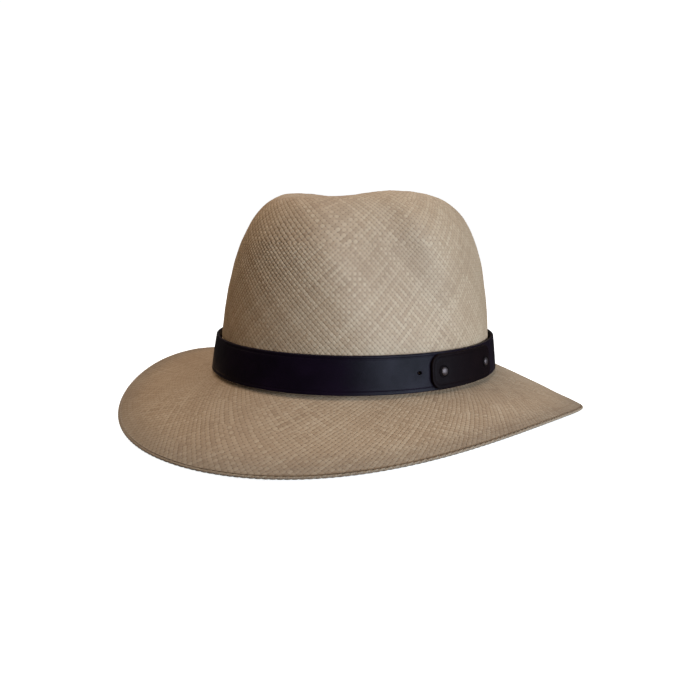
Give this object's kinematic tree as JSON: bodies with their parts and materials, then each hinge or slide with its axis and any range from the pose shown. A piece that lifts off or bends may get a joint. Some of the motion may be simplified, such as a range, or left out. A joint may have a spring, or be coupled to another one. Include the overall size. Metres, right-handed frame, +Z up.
{
  "type": "panama hat",
  "caption": "Woven straw hat with a pinched, dented crown, a brim curved down at front and back, a leather band with a riveted tab, and a sewn-in sweatband.",
  "frame": {"origin": "centre of the head opening, on the level line where the crown meets the brim", "axes": "+Z up through the crown, -Y to the front of the hat (the pinches), +X to the wearer's left (the tab)"},
  "size_m": [0.3016, 0.3316, 0.1464],
  "materials": {
    "straw": "woven toquilla straw, bleached and pressed, faint sheen",
    "band_leather": "smooth finished leather, near black, soft gloss",
    "tab_leather": "smooth finished leather, very dark brown, satin",
    "rivet_metal": "aged nickel, satin",
    "tack_thread": "waxed polyester thread",
    "sweatband_leather": "thin vegetable tanned leather, matte",
    "reed": "cord bound in cotton tape",
    "thread": "twisted cotton thread",
    "seam_tape": "woven cotton tape"
  },
  "bodies": {
    "root": {"straw_body": "straw", "hatband": "band_leather", "band_tab": "tab_leather", "front_rivet_cap": "rivet_metal", "front_rivet_post": "rivet_metal", "rear_rivet_cap": "rivet_metal", "rear_rivet_post": "rivet_metal", "band_tacks": "tack_thread", "sweatband": "sweatband_leather", "sweatband_reed": "reed", "sweatband_stitching": "thread", "seam_tape": "seam_tape", "seam_tape_stitching": "thread"}
  },
  "joints": []
}
